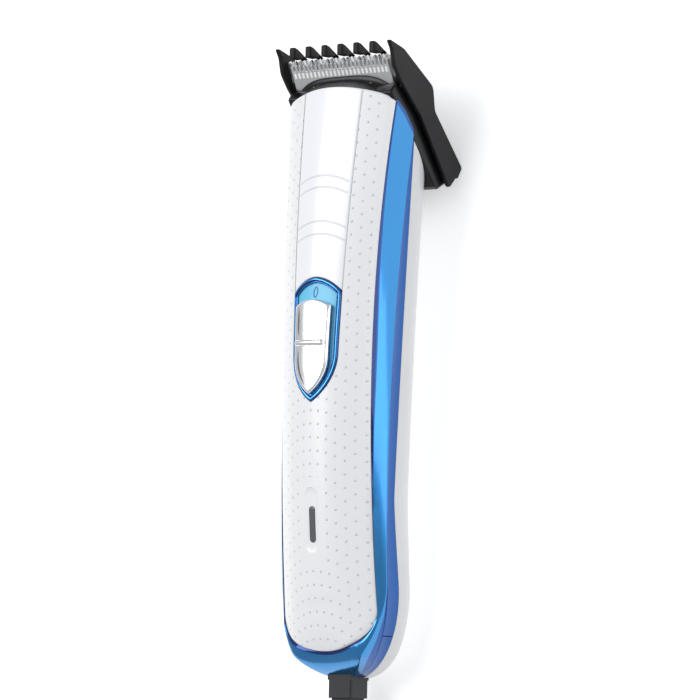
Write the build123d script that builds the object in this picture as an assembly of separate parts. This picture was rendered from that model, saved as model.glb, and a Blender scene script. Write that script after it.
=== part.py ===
from build123d import *
import math
import os

# Hair clipper on its back: +Z is up out of its switch side, +Y runs to the cutting head, X is its width.
# The pieces are drawn in the clipper's own axes (Y along the cord's axis, 0 at the cord end,
# Z towards the switch side) and are then tipped onto the three points that it rests on.

# ---- driving sizes, millimetres
BODY_LENGTH = 151.5      # cord end to the top of the front shell
HALF_WIDTH = 17.0        # half of the waist, over the trim
CREST = 17.9             # cord axis to the highest line of the front
BACK = 11.8              # cord axis to the back, at the waist
WALL = 1.8               # every moulded housing wall
FRONT_END = 7.0          # cord end to the lower end of the front shell
SEAM_Y = 11.0            # cord end to the seam between side trim and end cap
SKIN = 0.9               # moulded inlays: panel, bezel
PANEL_HALF = 9.25        # centre panel, half its width at the top
PANEL_LOW_HALF = 7.55    # and at its lower end
BEZEL_LENGTH = 32.0      # arrow-shaped switch bezel
BEZEL_SETBACK = 49.5     # its apex, back from the top of the front shell
BEZEL_RIM = 1.3          # width of its frame
BEZEL_RISE = 0.35        # it stands this far proud of the front
SLIDER_HALF = 5.5        # thumb slider, half its width
SLIDER_LENGTH = 24.3
SLIDER_RISE = 1.9        # thumb slider above the bezel
SWITCH_TRAVEL = 3.5
LENS_AT = 39.0           # indicator lens, from the cord end
LENS_LENGTH = 9.3
LENS_HALF = 0.95
HEAD_CUT = ((-4.5, 6.6), (-24.5, -11.4))  # joint with the head: Y from the front shell's top, and Z
BLADE_TILT = 27.0        # the blades lean towards the switch side by this, degrees
BLADE_REACH = 7.8        # the fixed blade's tooth tips, beyond the front shell's top
BLADE_LEVEL = 8.25       # and their height over the cord axis
PLATE_GAP = 0.05         # between the two blades
BLADE_SCREW_X = 11.0
SCREW_SHANK = 3.6        # of a blade screw, below the blade
BLADE_THICK = 1.0
TOOTH_PITCH = 1.27
TEETH = 25
STROKE = 1.2             # the moving blade goes this far each side of the middle
MOTOR_LENGTH = 30.0
MOTOR_RADIUS = 10.2
MOTOR_FLAT = 7.7         # the motor's flat sides, from its axis
MOTOR_SETBACK = 59.5     # the motor's rear end, back from the top of the front shell
SHAFT_RADIUS = 1.0
RUN_FIT = 0.05           # radial clearance of the shaft in its bearings
PIN_RADIUS = 0.8
BOARD_HALF = 11.0
BOARD_START = 30.0
BOARD_GAP = 6.0          # between the board and the motor
BOARD_THICK = 1.6
BOARD_Z = 3.0
CHEEK = 1.2              # thickness of a comb cheek
CHEEK_GAP = 0.3          # between a cheek and the head
COMB_TEETH = 8
RELIEF_SIDE = 7.5        # square strain relief
RELIEF_LENGTH = 34.0     # the part of it outside the housing
RELIEF_END = 6.0         # its side where the cord leaves it
NECK_END = 4.6           # how far its neck goes into the housing
CORD_DIAMETER = 5.0
CORD_LENGTH = 1800.0
SCREW_RADIUS = 1.25
REST_TILT = 4.62         # the head end is tipped up by this when it lies on its back, degrees
TIE = 0.8                # thickness of the strap round the put-away cord
LANE_OUT = 17.6          # half width of the outer lane of the cord's turns
LANE_GAP = 0.2           # between two turns side by side
LAYER_GAP = 0.05         # and between one layer and the next
TURN_LANES = "OIIOOII"   # the lanes, outer or inner, that the turns take, from the clipper's end
LAYERS = 4
HANK_REACH = 68.52       # from the strain relief to the near end of the hank's straight lanes
TAIL_REACH = 50.0        # from there to the plug
PLUG_HALF = 17.6
PLUG_LENGTH = 44.0
PLUG_THICK = 13.6
PLUG_PIN_RADIUS = 2.0
PLUG_PIN_LENGTH = 19.0
PLUG_PIN_SPREAD = 9.3

# ---- what follows from them
BEZEL_TOP = BODY_LENGTH - BEZEL_SETBACK
MOTOR_END = BODY_LENGTH - MOTOR_SETBACK
BOARD_END = MOTOR_END - BOARD_GAP
BLADE_HALF = HALF_WIDTH
MOVING_HALF = BLADE_HALF - STROKE - 0.2
COMB_HALF = HALF_WIDTH + CHEEK_GAP + CHEEK
LANE_IN = LANE_OUT - CORD_DIAMETER - LANE_GAP
LAYER = CORD_DIAMETER + LAYER_GAP


def bow(y, peak_at, peak, low_drop, high_drop, power=2.0):
    """A gentle curve along the body: peak, less low_drop at the cord end and high_drop at the head."""
    if y > peak_at:
        return peak - high_drop * ((y - peak_at) / (BODY_LENGTH - peak_at)) ** power
    return peak - low_drop * ((peak_at - y) / peak_at) ** power


def along(share):
    """A distance from the cord end, as a share of the body."""
    return share * BODY_LENGTH


def crest_z(y):
    return bow(y, along(0.435), CREST, 6.9, 6.3)


def edge_x(y):
    return HALF_WIDTH * bow(y, along(0.49), 0.824, -0.07, -0.19)


def edge_z(y):
    return CREST * bow(y, along(0.51), 0.665, 0.33, 0.29)


def crease_x(y):
    return HALF_WIDTH * bow(y, along(0.4), 0.994, 0.02, -0.07)


def crease_z(y):
    return bow(y, along(0.3), 7.2, 6.4, 9.4, 2.0) if y > along(0.3) else bow(y, along(0.3), 7.2, 6.4, 0, 3.2)


def rear_x(y):
    return HALF_WIDTH * bow(y, along(0.4), 1.006, 0.02, -0.058)


def rear_z(y):
    return bow(y, along(0.3), 4.4, 6.0, 7.0, 1.15)


def back_z(y):
    return -BACK * bow(y, along(0.33), 1.0, 0.13, -0.52)


def ring(y, inset):
    """The body's closed cross-section at y, drawn inside its surface by inset."""
    top = crest_z(y) - inset
    ex, ez = edge_x(y) - 0.6 * inset, edge_z(y) - 0.9 * inset
    kx, kz = crease_x(y) - inset, max(crease_z(y), rear_z(y) + 0.8)
    rx, rz = rear_x(y) - inset, rear_z(y)
    low = back_z(y) + inset
    centre_z = rz - 0.6 - 0.001 * inset
    radius = centre_z - low
    right = [(ex, ez), (kx, kz), (rx, rz), (rx, centre_z)]
    points = [Vector(x, y, z) for x, z in right]
    corner = Vector(rx - radius * (1 - math.cos(math.pi / 4)), y, centre_z - radius * math.sin(math.pi / 4))
    foot = Vector(rx - radius, y, low)

    def flip(v):
        return Vector(-v.X, v.Y, v.Z)

    lines = [ThreePointArc(flip(points[0]), Vector(0, y, top), points[0])]
    lines += [Line(a, b) for a, b in zip(points, points[1:])]
    lines += [ThreePointArc(points[3], corner, foot), Line(foot, flip(foot))]
    lines += [ThreePointArc(flip(foot), flip(corner), flip(points[3]))]
    lines += [Line(flip(b), flip(a)) for a, b in reversed(list(zip(points, points[1:])))]
    return Face(Wire(lines))


def side_prism(lines, half=40.0):
    """A prism along X from a closed outline of edges drawn with (Y, Z) points."""
    return extrude(Face(Wire(lines)), amount=half, dir=(1, 0, 0), both=True)


def yz(*points):
    return [Vector(0, y, z) for y, z in points]


def side_block(*points, half=40.0):
    """A prism along X from a polygon of (Y, Z) points."""
    return side_prism([Line(a, b) for a, b in zip(yz(*points), yz(*points[1:], points[0]))], half)


def below(height_at, lift=0.0):
    """Everything under the curve Z = height_at(Y), for all X."""
    marks = [-5.0 + (BODY_LENGTH + 15.0) * i / 9 for i in range(10)]
    curve = Spline(yz(*[(y, height_at(y) + lift) for y in marks]))
    end, start = curve @ 1, curve @ 0
    return side_prism([curve, Line(end, (0, end.Y, -40)), Line((0, end.Y, -40), (0, start.Y, -40)),
                       Line((0, start.Y, -40), start)])


def plan_prism(half, start, reach, low=-40.0, high=40.0):
    """A prism along Z: a half ellipse of that half width and reach at the cord end, open to the head."""
    middle, far, wide = start + reach, BODY_LENGTH + 40.0, HALF_WIDTH + 12.0
    rest_of_it = Pos(0, (middle + far) / 2) * Rectangle(2 * wide, far - middle)
    outline = Pos(0, middle) * Ellipse(half, reach) + rest_of_it
    return Pos(0, 0, low) * extrude(outline, amount=high - low)


def end_profile(inset):
    """The rounded side view at the cord end, open to the head."""
    far = BODY_LENGTH + 40.0
    front = ThreePointArc((0, inset, 0.5), (0, 6.4 + 0.8 * inset, 9.8 - 0.6 * inset),
                          (0, 19.0, crest_z(19.0) + 0.1 - inset))
    low = back_z(9.0) - 0.1 + inset
    rear = ThreePointArc((0, 9.0, low), (0, 2.6 + 0.7 * inset, low + 2.7 + 0.7 * (0.2 * inset)),
                         (0, inset, low + 9.0))
    return side_prism([rear, Line((0, inset, low + 9.0), (0, inset, 0.5)), front,
                       Line(front @ 1, (0, 19, 40)), Line((0, 19, 40), (0, far, 40)),
                       Line((0, far, 40), (0, far, -40)), Line((0, far, -40), (0, 9, -40)),
                       Line((0, 9, -40), (0, 9, low))])


def envelope(inset):
    """The whole body as one solid, inside its real surface by inset."""
    stations = [-3.0, along(0.09), along(0.2), along(0.34), along(0.5), along(0.66), along(0.83), along(1.04)]
    body = loft([ring(y, inset) for y in stations])
    round_end = plan_prism(rear_x(25.0) + 0.02 - inset, inset, 25.0 - inset)
    return body & round_end & end_profile(inset)


def one(shape):
    """The largest solid of a result, without slivers."""
    return max(shape.solids(), key=lambda s: s.volume)


# ---- the surfaces that cut the shell into its pieces
def ahead(*points):
    """Side-view points whose Y is given from the front shell's top."""
    return [(BODY_LENGTH + y, z) for y, z in points]


def head_side(gap=0.0):
    """Everything on the head's side of the slanting joint, moved towards the head by gap."""
    (y1, z1), (y2, z2) = ahead(*HEAD_CUT)
    dy, dz = (y1 - y2), (z1 - z2)
    size = math.hypot(dy, dz)
    uy, uz, ny, nz = dy / size, dz / size, dz / size * gap, -dy / size * gap
    top = (y1 + 60 * uy + ny, z1 + 60 * uz + nz)
    foot = (y2 - 60 * uy + ny, z2 - 60 * uz + nz)
    return side_block(top, foot, (y1 + 150, z2 - 60), (y1 + 150, z1 + 60))


def front_outline(gap=0.0):
    """The prism that holds the front shell: a U at the cord end, its sides on the shell's edge."""
    middle = FRONT_END + 10.0
    marks = [(edge_x(y) + gap, y) for y in (middle, along(0.3), along(0.5), along(0.75), BODY_LENGTH + 5)]
    side = Spline([(x, y) for x, y in marks])
    other = Spline([(-x, y) for x, y in reversed(marks)])
    sides = make_face([side, Line(side @ 1, other @ 0), other, Line(other @ 1, side @ 0)])
    outline = sides + Pos(0, middle) * Ellipse(edge_x(middle) + gap, 10.0 + gap)
    return Pos(0, 0, 1.0) * extrude(outline, amount=40)


def top_arch():
    """Everything short of the front shell's arched top edge."""
    corner = BODY_LENGTH - 3.3
    arch = ThreePointArc((-30, corner - 7.5), (0, BODY_LENGTH), (30, corner - 7.5))
    face = make_face([arch, Polyline((30, corner - 7.5), (30, -30), (-30, -30), (-30, corner - 7.5))])
    return Pos(0, 0, -40) * extrude(face, amount=80)


def column(outline, low=2.0, high=40.0):
    """A plan outline carried up through the front."""
    return Pos(0, 0, low) * extrude(outline, amount=high - low)


def polygon(*points):
    return make_face(Polyline(*points, close=True))


def mirrored(*points):
    """A polygon symmetric about X = 0 from its right-hand points, top to bottom."""
    return polygon(*points, *[(-x, y) for x, y in reversed(points) if x > 0])


def cylinder_y(radius, start, end, x=0.0, z=0.0):
    return Pos(x, (start + end) / 2, z) * Rot(90, 0, 0) * Cylinder(radius, end - start)


def block(x0, x1, y0, y1, z0, z1):
    return Pos((x0 + x1) / 2, (y0 + y1) / 2, (z0 + z1) / 2) * Box(x1 - x0, y1 - y0, z1 - z0)


def post(x, y, radius, low, high):
    return Pos(x, y, (low + high) / 2) * Cylinder(radius, high - low)


def pair(make):
    """A left and a right copy of the same sub-part, as one group."""
    return Compound([*make(-1).solids(), *make(1).solids()])


nodes = {}
outer, inner = envelope(0), envelope(WALL)
skin = envelope(SKIN)
proud = envelope(-BEZEL_RISE)
wall = outer - inner
under_crease = below(lambda y: max(crease_z(y), rear_z(y) + 0.8))
under_rear = below(rear_z)
head_zone = head_side()
shell = wall - head_zone
cord_hole = block(-RELIEF_SIDE / 2, RELIEF_SIDE / 2, -5, NECK_END, -RELIEF_SIDE / 2, RELIEF_SIDE / 2)

# ---- outlines on the front, seen from above
def shield(half, top, length, crown, straight):
    """A shield: an arched top over straight sides that curve in to a point at the cord end."""
    shoulder, bend, tip = top - crown, top - crown - straight, top - length
    belly = ThreePointArc((half * 0.94, bend), (half * 0.66, tip + (bend - tip) * 0.42), (0, tip))
    arch = ThreePointArc((-half, shoulder), (0, top), (half, shoulder))
    return make_face([arch, Line((half, shoulder), belly @ 0), belly, mirror(belly, Plane.YZ),
                      Line((-half * 0.94, bend), (-half, shoulder))])


shoulder_y = BEZEL_TOP - 3.7
bezel_outline = shield(PANEL_LOW_HALF, BEZEL_TOP, BEZEL_LENGTH, 3.7, 16.5)
window_outline = shield(PANEL_LOW_HALF - BEZEL_RIM, BEZEL_TOP - BEZEL_RIM - 0.1,
                        BEZEL_LENGTH - 3.4, 3.1, 15.5)
panel_outline = mirrored((PANEL_HALF, BODY_LENGTH + 2), (PANEL_LOW_HALF, shoulder_y)) - bezel_outline
slider_top = BEZEL_TOP - 1.8 - SWITCH_TRAVEL - 0.4
slider_outline = shield(SLIDER_HALF, slider_top, SLIDER_LENGTH, 1.4, 13.5)
lens_outline = Pos(0, LENS_AT) * SlotOverall(LENS_LENGTH, 2 * LENS_HALF, rotation=90)
recess_outline = Pos(0, LENS_AT + 1.0) * SlotOverall(LENS_LENGTH + 7.4, 2 * LENS_HALF + 2.6, rotation=90)
stem_y = slider_top - 12.0


def front_parts():
    """The dimpled front shell, its panel, the switch bezel with its plate, and the lens."""
    front = (shell - under_crease) & front_outline() & top_arch()
    skin_layer = proud - skin
    stem_slot = column(Pos(0, stem_y + SWITCH_TRAVEL / 2) * Rectangle(3.6, SWITCH_TRAVEL + 4.2))
    front = front - (column(bezel_outline + panel_outline) & skin_layer) - stem_slot
    front = front - (column(recess_outline) & (proud - envelope(0.45))) - column(lens_outline)
    bosses = [post(side * 10.0, 24.0, 3.0, 1.2, 14.0) for side in (-1, 1)]
    for boss in bosses:
        front = front + (boss & envelope(0.5))
    for side in (-1, 1):
        front = front - post(side * 10.0, 24.0, SCREW_RADIUS, -1.0, 8.0)
    nodes["front_shell"] = one(front)
    nodes["front_panel"] = one(column(panel_outline) & (outer - skin) & top_arch() - head_zone)
    ring_zone = column(bezel_outline) - column(window_outline)
    nodes["switch_bezel"] = one(ring_zone & skin_layer)
    nodes["switch_plate"] = one((column(window_outline) & (envelope(0.5) - skin)) - stem_slot)
    nodes["indicator_lens"] = one(column(lens_outline) & (envelope(0.3) - envelope(WALL + 0.7)))


def trim_parts():
    """The chrome U round the front shell, the two side strips and the cap round the cord."""
    upper = shell - under_crease
    nodes["trim_frame"] = one(upper - front_outline() - cord_hole)
    band = under_crease - under_rear
    low_zone = block(-60, 60, -20, SEAM_Y, -60, 60)
    nodes["end_cap"] = one((outer & (band & low_zone)) - inner - cord_hole)
    sides = (shell & under_crease) - under_rear - low_zone
    nodes["side_trim_left"] = one(sides & block(-60, 0, -20, 400, -60, 60))
    nodes["side_trim_right"] = one(sides & block(0, 60, -20, 400, -60, 60))


BOARD_POSTS = [(side * 8.0, y) for side in (-1, 1) for y in (BOARD_START + 4.0, BOARD_END - 5.0)]


def rear_parts():
    rear = (shell & under_rear) - cord_hole
    low_zone = envelope(0.5) & under_rear
    for side in (-1, 1):
        rear = rear + (post(side * 10.0, 24.0, 3.4, -20.0, 1.2) & low_zone)
    for x, y in BOARD_POSTS:
        rear = rear + (post(x, y, 2.2, -20.0, BOARD_Z) & low_zone)
    for side in (-1, 1):
        rear = rear - post(side * 10.0, 24.0, SCREW_RADIUS + 0.2, -20.0, 3.0)
        rear = rear - post(side * 10.0, 24.0, 2.5, -20.0, -6.0)
    nodes["rear_shell"] = one(rear)

    def screw(side):
        head = post(side * 10.0, 24.0, 2.3, -8.2, -6.0)
        drive = post(side * 10.0, 24.0, 1.0, -8.2, -7.2)
        return head + post(side * 10.0, 24.0, SCREW_RADIUS, -6.0, 7.5) - drive

    nodes["housing_screws"] = pair(screw)


# ---- cutting head, in the blades' own plane: X, up the blade to the tips, out of its switch side
blade_place = Pos(0, BODY_LENGTH + BLADE_REACH, BLADE_LEVEL) * Rot(BLADE_TILT, 0, 0)


def plate(outline, low, high):
    return blade_place * (Pos(0, 0, low) * extrude(outline, amount=high - low))


def slots(width, low, high, pitch=TOOTH_PITCH, count=TEETH):
    """A row of slots across a blade, between two heights on it."""
    return [Pos((i - (count - 1) / 2) * pitch, (low + high) / 2) * Rectangle(width, high - low)
            for i in range(count)]


def blade_parts():
    foot = BLADE_HALF - 3.0
    lower = polygon((-BLADE_HALF, 0), (-BLADE_HALF, -7), (-foot, -10), (-foot, -15.5), (-8, -15.5), (-8, -13),
                    (8, -13), (8, -15.5), (foot, -15.5), (foot, -10), (BLADE_HALF, -7), (BLADE_HALF, 0))
    for hole in slots(0.62, -2.3, 1.0):
        lower = lower - hole
    for side in (-1, 1):
        lower = lower - Pos(side * BLADE_SCREW_X, -13.2) * Circle(1.05)
    nodes["fixed_blade"] = one(plate(lower, -BLADE_THICK, 0))
    upper = mirrored((MOVING_HALF, -0.9), (MOVING_HALF, -5.5), (11, -11)) - Pos(0, -12.2) * Ellipse(9.5, 3.4)
    for hole in slots(0.62, -2.4, 1.0) + slots(0.8, -4.4, -2.9):
        upper = upper - hole
    nodes["moving_blade"] = one(plate(upper, PLATE_GAP, PLATE_GAP + BLADE_THICK))

    def screw(side):
        place = Pos(side * BLADE_SCREW_X, -13.2)
        top = place * (Pos(0, 0, 0.45) * Cylinder(1.9, 0.9) - Pos(0, 0, 0.7) * Box(3.0, 0.5, 0.5))
        return blade_place * (top + place * Pos(0, 0, -SCREW_SHANK / 2) * Cylinder(1.0, SCREW_SHANK))

    nodes["blade_screws"] = pair(screw)


def drive_parts():
    """The slotted driver on the moving blade, its spring, and the eccentric that turns in the slot."""
    top = PLATE_GAP + BLADE_THICK
    end = BODY_LENGTH
    saddle = block(-6, 6, end - 13.0, end - 4.9, -3.4, 3.8)
    arm = blade_place * block(-6, 6, -15.4, -6.8, top, top + 1.7)
    keep_clear = blade_place * block(-9, 9, -16.5, 5, -8, top)
    slot = block(-3.75, 3.75, end - 21.5, end - 6.9, -10, 10)
    nodes["blade_driver"] = one((saddle - keep_clear) + arm - slot)

    def leg(side):
        rod = Pos(side * 9.0, -10.5, top + 0.7) * Rot(90, 0, 0) * Cylinder(0.45, 8.0)
        foot = Pos(side * 9.0, -14.05, top + 1.6) * Cylinder(0.45, 2.7)
        return blade_place * (rod + foot)

    nodes["blade_spring"] = pair(leg)
    shaft = cylinder_y(SHAFT_RADIUS, MOTOR_END - 2.5, end - 19.5)
    nodes["motor_shaft"] = one(shaft)
    pin = cylinder_y(PIN_RADIUS, end - 15.5, end - 9.0, x=STROKE)
    disc = cylinder_y(3.2, end - 22.0, end - 15.5) - cylinder_y(SHAFT_RADIUS, end - 22.5, end - 19.5)
    nodes["eccentric"] = one(disc + pin)


def head_parts():
    cut_top, cut_low = HEAD_CUT
    end = BODY_LENGTH
    solid = side_block(*ahead(cut_low, cut_top, (-1.3, 9.4), (3.1, 6.7), (5.4, 5.6), (5.4, 4.9), (-18.3, -16.6),
                              (-21.9, -18.2), (-24.9, -12.6)), half=HALF_WIDTH - 0.1)
    deep = blade_place * block(-40, 40, -15.6, 6, -BLADE_THICK, BLADE_THICK + PLATE_GAP + 0.25)
    hood_cut = blade_place * (Pos(0, 0, 0.5) * extrude(
        polygon((-40, 6), (-40, -9.5), (-MOVING_HALF, -9.5), (-9, -6.4), (0, -5.0), (9, -6.4),
                (MOVING_HALF, -9.5), (40, -9.5), (40, 6)), amount=12))
    room = block(-8.2, 8.2, end - 31.5, end - 4.6, -6.5, 6.5)
    room = room + blade_place * block(-7.6, 7.6, -17, -6.0, 0.5, 3.2)
    legs = blade_place * pair(lambda side: block(side * 9 - 0.9, side * 9 + 0.9, -15.2, -5.0, 0.5, 4.4))
    tunnel = side_block(*ahead((-21.0, -11.0), (-10.5, -2.5), (-10.5, -6.6), (-18.0, -13.4)),
                        half=HALF_WIDTH - 2.2)
    motor_room = cylinder_y(5.0, end - 41.5, end - 13.5)
    holes = blade_place * pair(lambda side: Pos(side * BLADE_SCREW_X, -13.2, -3) * Cylinder(1.0, 6.0))
    head = solid - deep - hood_cut - room - legs - tunnel - motor_room - holes
    nodes["head_housing"] = one(head & plan_limit())


def plan_limit():
    """The head's plan outline, with its front corners rounded."""
    half, end = HALF_WIDTH - 0.1, BODY_LENGTH
    return extrude(polygon((-half, end - 51), (half, end - 51), (half, end + 4), (half - 1.5, end + 5.5),
                           (1.5 - half, end + 5.5), (-half, end + 4)), amount=60, both=True)


def comb_parts():
    """The comb: two cheeks, six inner teeth, the web across the skin side and the foot behind the head."""
    nose, skin_top, knee = (11.3, 12.0), (9.5, 5.3), (1.1, -7.6)
    step, corner = (-5.1, -8.5), (-18.7, -20.8)
    cheek = ahead(nose, skin_top, knee, step, corner, (-24.5, -15.2), (-21.6, -13.1), (-7.1, -2.4),
                  (-2.5, 2.6), (1.1, 6.4), (4.7, 9.3), (8.8, 10.3))
    tooth = ahead((11.2, 11.9), (10.8, 10.2), (8.4, 5.5), knee, step, (-6.9, -10.1), (-5.5, -5.6),
                  (5.9, 5.2), (8.6, 7.0), (8.6, 11.3), (8.8, 11.8))
    inside = COMB_HALF - CHEEK
    comb = side_block(*cheek, half=COMB_HALF) - side_block(*cheek, half=inside)
    pitch = (2 * COMB_HALF - CHEEK) / (COMB_TEETH - 1)
    for i in range(1, COMB_TEETH - 1):
        x = -COMB_HALF + CHEEK / 2 + i * pitch
        comb = comb + Pos(x, 0, 0) * side_block(*tooth, half=0.9)
    web = side_block(*ahead(step, corner, (-20.3, -19.3), (-18.1, -17.0), (-5.5, -5.6)), half=COMB_HALF - 0.1)
    heel = side_block(*ahead(corner, (-21.8, -18.9), (-20.3, -19.3)), half=9.0)
    nodes["comb"] = one(comb + web + heel)


def motor_parts():
    front = MOTOR_END + MOTOR_LENGTH

    def can(radius, flat, start, end):
        return cylinder_y(radius, start, end) & block(-30, 30, start, end, -flat, flat)

    body = can(MOTOR_RADIUS, MOTOR_FLAT, MOTOR_END + 1.5, front)
    hollow = can(MOTOR_RADIUS - 0.8, MOTOR_FLAT - 0.8, MOTOR_END, front - 1.2)
    nose = cylinder_y(3.0, front, front + 1.6)
    bore = cylinder_y(SHAFT_RADIUS + RUN_FIT, MOTOR_END - 5, front + 5)
    nodes["motor_can"] = one(body - hollow + nose - bore)
    cap = can(MOTOR_RADIUS, MOTOR_FLAT, MOTOR_END, MOTOR_END + 1.5)
    plug = can(MOTOR_RADIUS - 0.8, MOTOR_FLAT - 0.8, MOTOR_END + 1.5, MOTOR_END + 4.0)
    nodes["motor_end_cap"] = one(cap + plug + cylinder_y(2.6, MOTOR_END - 1.8, MOTOR_END) - bore)
    magnet = can(MOTOR_RADIUS - 0.8, MOTOR_FLAT - 0.8, MOTOR_END + 6, front - 4)
    magnet = magnet - cylinder_y(7.0, MOTOR_END, front)
    nodes["motor_magnets"] = Compound([s for s in magnet.solids() if abs(s.center().X) > 3])
    core = cylinder_y(6.4, MOTOR_END + 8, front - 6) - cylinder_y(SHAFT_RADIUS, MOTOR_END, front)
    for k in range(3):
        core = core - Rot(0, 120 * k, 0) * block(5.0, 8.0, MOTOR_END, front, -0.8, 0.8)
    nodes["motor_rotor"] = one(core)

    def tab(side):
        return block(side * 5 - 1.0, side * 5 + 1.0, MOTOR_END - 3.5, MOTOR_END, -0.25, 0.25)

    nodes["motor_terminals"] = pair(tab)
    saddle = None
    for y in (MOTOR_END + 5.0, MOTOR_END + 22.0):
        rib = inner & block(-30, 30, y, y + 3.0, -30, 2.0)
        saddle = rib if saddle is None else saddle + rib
    rail = inner & block(-3.0, 3.0, MOTOR_END + 5.0, MOTOR_END + 25.0, -30, -MOTOR_FLAT)
    saddle = (saddle + rail) - can(MOTOR_RADIUS, MOTOR_FLAT, MOTOR_END, front)
    nodes["motor_cradle"] = one(saddle - head_side(-0.2))


def electric_parts():
    board_top, end = BOARD_Z + BOARD_THICK, BOARD_END
    board = block(-BOARD_HALF, BOARD_HALF, BOARD_START, end, BOARD_Z, board_top)
    nodes["circuit_board"] = one(board)
    dome, foot = post(0, LENS_AT, 1.5, board_top, 13.2), post(0, LENS_AT, 1.9, board_top, board_top + 0.9)
    nodes["led"] = one(dome + foot)
    nodes["capacitor"] = one(cylinder_y(4.0, 47.0, 62.0, x=-5.5, z=board_top + 4.0))
    nodes["rectifier"] = one(block(2.5, 8.5, 50.0, 56.4, board_top, board_top + 2.6))
    nodes["choke"] = one(post(5.5, 64.0, 3.2, board_top, board_top + 5.5))
    low, high = stem_y - 5.0, min(stem_y + SWITCH_TRAVEL + 5.0, end)
    case_top = board_top + 4.6
    case = block(-4.2, 4.2, low, high, board_top, case_top)
    knob_room = block(-1.3, 1.3, stem_y - 1.8, stem_y + SWITCH_TRAVEL + 1.8, board_top + 2.0, case_top + 1)
    nodes["slide_switch"] = one(case - knob_room)
    knob = block(-1.0, 1.0, stem_y - 1.5, stem_y + 1.5, board_top + 2.3, case_top + 3.2)
    nodes["switch_knob"] = one(knob)
    carriage = block(-1.5, 1.5, stem_y - 1.95, stem_y + 1.95, case_top + 0.3, 20.0) - knob
    pad = column(slider_outline)
    slider = pad & (envelope(-SLIDER_RISE) - envelope(0.15))
    bar = column(Pos(0, slider_top - 11.2) * Rectangle(2 * SLIDER_HALF - 0.7, 1.6))
    bar = bar & (envelope(-SLIDER_RISE - 0.7) - envelope(-SLIDER_RISE + 0.3))
    nodes["switch_slider"] = one(slider + (carriage & envelope(-0.5)) + bar)


def cord_inner_parts():
    """The square ribbed strain relief, the clamp on the cord's sheath and the leads."""
    ribs = 7
    first = 4.6
    pitch = (RELIEF_LENGTH - first) / (ribs - 1)
    groove = 1.1
    neck = RELIEF_SIDE / 2
    relief = block(-neck, neck, 0, NECK_END, -neck, neck)
    for i in range(ribs):
        start = 0.0 if i == 0 else -first - (i - 1) * pitch - groove
        end = -first - i * pitch
        half = neck - (RELIEF_SIDE - RELIEF_END) / 2 * i / (ribs - 1)
        rib = block(-half, half, end, start, -half, half)
        rib = fillet(rib.edges().filter_by(Axis.Y), 0.8)
        relief = relief + rib
        if i < ribs - 1:
            relief = relief + block(0.8 - half, half - 0.8, end - groove, end, 0.8 - half, half - 0.8)
    wide = neck + 0.65
    flange = block(-wide, wide, NECK_END, NECK_END + 1.6, -wide, wide)
    sheath = cylinder_y(CORD_DIAMETER / 2, NECK_END + 1.6, 15.0)
    nodes["strain_relief"] = one(relief + flange + sheath)
    clamp = block(-7.5, 7.5, 8.5, 12.5, 0, 4.6) - cylinder_y(CORD_DIAMETER / 2, 5, 20)
    legs = pair(lambda side: block(side * 5.5 - 2, side * 5.5 + 2, 8.5, 12.5, -20, 0) & inner)
    nodes["cord_clamp"] = one(clamp + legs)

    def lead(side):
        points = [(side * 1.1, 15.1, 0), (side * 1.1, 21, 0.2), (side * 4.0, 27, 6.5), (side * 4.0, 33, 5.4)]
        path = Spline(points)
        return sweep(Plane(path @ 0, z_dir=path % 0) * Circle(0.75), path=path)

    nodes["mains_leads"] = pair(lead)

    def motor_lead(side):
        start = BOARD_Z + BOARD_THICK + 0.7
        points = [(side * 7.5, MOTOR_END - 8.0, start), (side * 7.0, MOTOR_END - 4.0, start - 0.9),
                  (side * 5.0, MOTOR_END - 3.3, 0.95)]
        path = Spline(points)
        return sweep(Plane(path @ 0, z_dir=path % 0) * Circle(0.65), path=path)

    nodes["motor_leads"] = pair(motor_lead)


front_parts()
trim_parts()
rear_parts()
blade_parts()
drive_parts()
head_parts()
comb_parts()
motor_parts()
electric_parts()
cord_inner_parts()

# ---- laid on its back: tipped by the rest tilt, lowest point on Z = 0, middle of the length at Y = 0
tipped = Rot(REST_TILT, 0, 0)
boxes = {name: (tipped * shape).bounding_box() for name, shape in nodes.items()}
rest = Pos(0, -(min(b.min.Y for b in boxes.values()) + max(b.max.Y for b in boxes.values())) / 2,
           -min(b.min.Z for b in boxes.values())) * tipped
nodes = {name: rest * shape for name, shape in nodes.items()}

# ---- the cord, its put-away hank and its plug, where they lie on the table
exit_point = rest * Pos(0, -RELIEF_LENGTH, 0)
leave = exit_point.position
HANK_Y = leave.Y - HANK_REACH
LEAD_ROUTE = [(0, leave.Y, leave.Z), (0, leave.Y - 10.12, 6.4), (1.9, leave.Y - 21.02, 4.6),
              (6.6, leave.Y - 31.52, 3.6), (12.2, leave.Y - 42.02, 3.35), (16.3, leave.Y - 51.52, 3.3),
              (LANE_OUT, leave.Y - 60.52, 3.3)]


def rounded_path(points):
    """Straight runs joined by tangent arcs, each as large as its runs allow."""
    vectors = [Vector(*p) for p in points]
    runs = [b - a for a, b in zip(vectors, vectors[1:])]
    radii = []
    for before, after in zip(runs, runs[1:]):
        half_turn = math.radians(before.get_angle(after)) / 2
        radii.append(0.45 * min(before.length, after.length) / math.tan(half_turn))
    print("radii", [round(r, 1) for r in radii])
    return FilletPolyline(*points, radius=radii)


def tube(points):
    path = rounded_path(points)
    solid = sweep(Plane(path @ 0, z_dir=path % 0) * Circle(CORD_DIAMETER / 2), path=path)
    print("tube", solid.volume / (math.pi * CORD_DIAMETER**2 / 4 * path.length), path.length)
    return one(solid), path.length


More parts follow.
